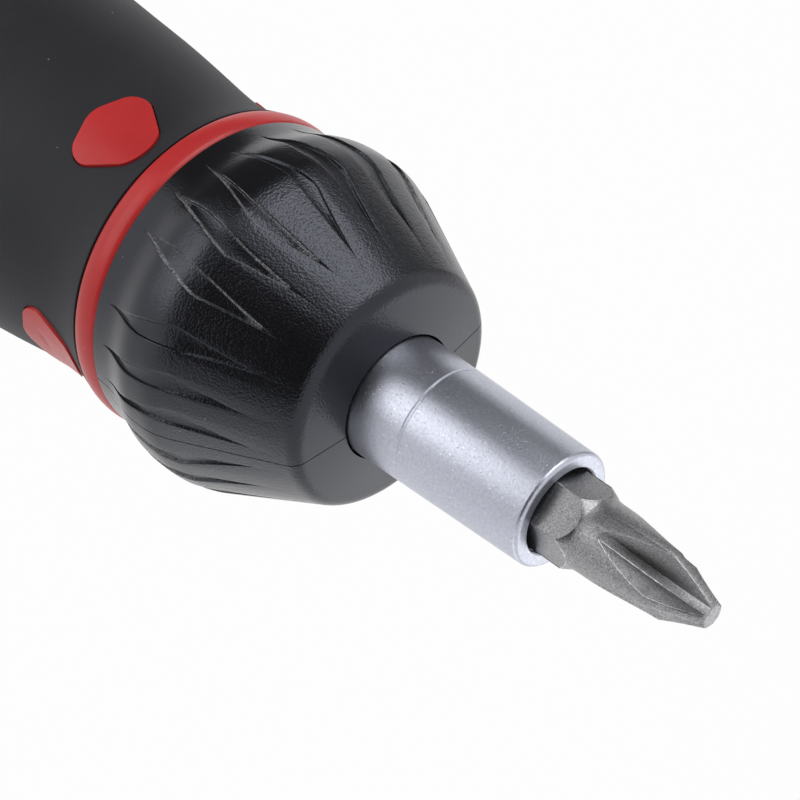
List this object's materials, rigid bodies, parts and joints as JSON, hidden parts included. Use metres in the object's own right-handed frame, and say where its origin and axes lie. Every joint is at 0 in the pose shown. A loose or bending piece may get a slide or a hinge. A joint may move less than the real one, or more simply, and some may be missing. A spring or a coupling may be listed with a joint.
{
  "type": "ratcheting screwdriver",
  "caption": "Ratcheting screwdriver with a soft grip handle, turning selector collar and magnetic hex bit holder with a cross-head bit.",
  "frame": {"origin": "centre of the flat butt face of the handle", "axes": "+Z along the tool's axis from the butt to the bit's tip; -Y faces the viewer"},
  "size_m": [0.0346, 0.0346, 0.1604],
  "materials": {
    "red_plastic": "glossy moulded plastic",
    "soft_black": "matt soft grip",
    "collar_black": "grained moulded plastic",
    "satin_chrome": "satin chrome plate",
    "bit_steel": "blasted tool steel",
    "housing_steel": "turned steel",
    "spring_steel": "blued spring steel",
    "bronze": "sintered bronze",
    "magnet_grey": "nickel plated magnet"
  },
  "bodies": {
    "handle": {"handle_core": "red_plastic", "end_cap": "red_plastic", "soft_grip": "soft_black", "ratchet_housing": "housing_steel", "housing_pins": "housing_steel", "rear_bush": "bronze", "front_bush": "bronze", "cover_plate": "housing_steel", "cover_screws": "spring_steel", "pawl_pins": "housing_steel", "pawl_springs": "spring_steel", "detent_spring": "spring_steel", "collar_snap_ring": "spring_steel", "rear_washer": "housing_steel", "gear_washer": "housing_steel", "front_washer": "housing_steel"},
    "selector": {"selector_collar": "collar_black", "cam_ring": "housing_steel"},
    "right_pawl": {"pawl_right": "housing_steel"},
    "left_pawl": {"pawl_left": "housing_steel"},
    "detent": {"detent_ball": "housing_steel"},
    "spindle": {"bit_holder": "satin_chrome", "ratchet_gear": "housing_steel", "gear_key": "spring_steel", "spindle_circlip": "spring_steel", "socket_magnet": "magnet_grey", "bit_clip": "spring_steel"},
    "bit": {"screwdriver_bit": "bit_steel"}
  },
  "joints": [
    {"name": "selector_turn", "type": "hinge", "parent": "handle", "child": "selector", "pos_m": [0, 0, 0.117], "axis": [0, 0, 1], "range_deg": [-18, 18]},
    {"name": "right_pawl_swing", "type": "hinge", "parent": "handle", "child": "right_pawl", "pos_m": [0.0072, -0.005, 0.1135], "axis": [0, 0, 1], "range_deg": [-5, 5]},
    {"name": "left_pawl_swing", "type": "hinge", "parent": "handle", "child": "left_pawl", "pos_m": [-0.0072, -0.005, 0.1135], "axis": [0, 0, 1], "range_deg": [-5, 5]},
    {"name": "detent_press", "type": "slide", "parent": "handle", "child": "detent", "axis": [0, 1, 0], "range_m": [0, 0.0004]},
    {"name": "spindle_spin", "type": "hinge", "parent": "handle", "child": "spindle", "pos_m": [0, 0, 0.13], "axis": [0, 0, 1], "continuous": true},
    {"name": "bit_pull", "type": "slide", "parent": "spindle", "child": "bit", "axis": [0, 0, 1], "range_m": [0, 0.03]}
  ],
  "couplings": [
    {"joint": "right_pawl_swing", "follows": "selector_turn", "ratio": -0.2777},
    {"joint": "left_pawl_swing", "follows": "selector_turn", "ratio": -0.2777}
  ]
}
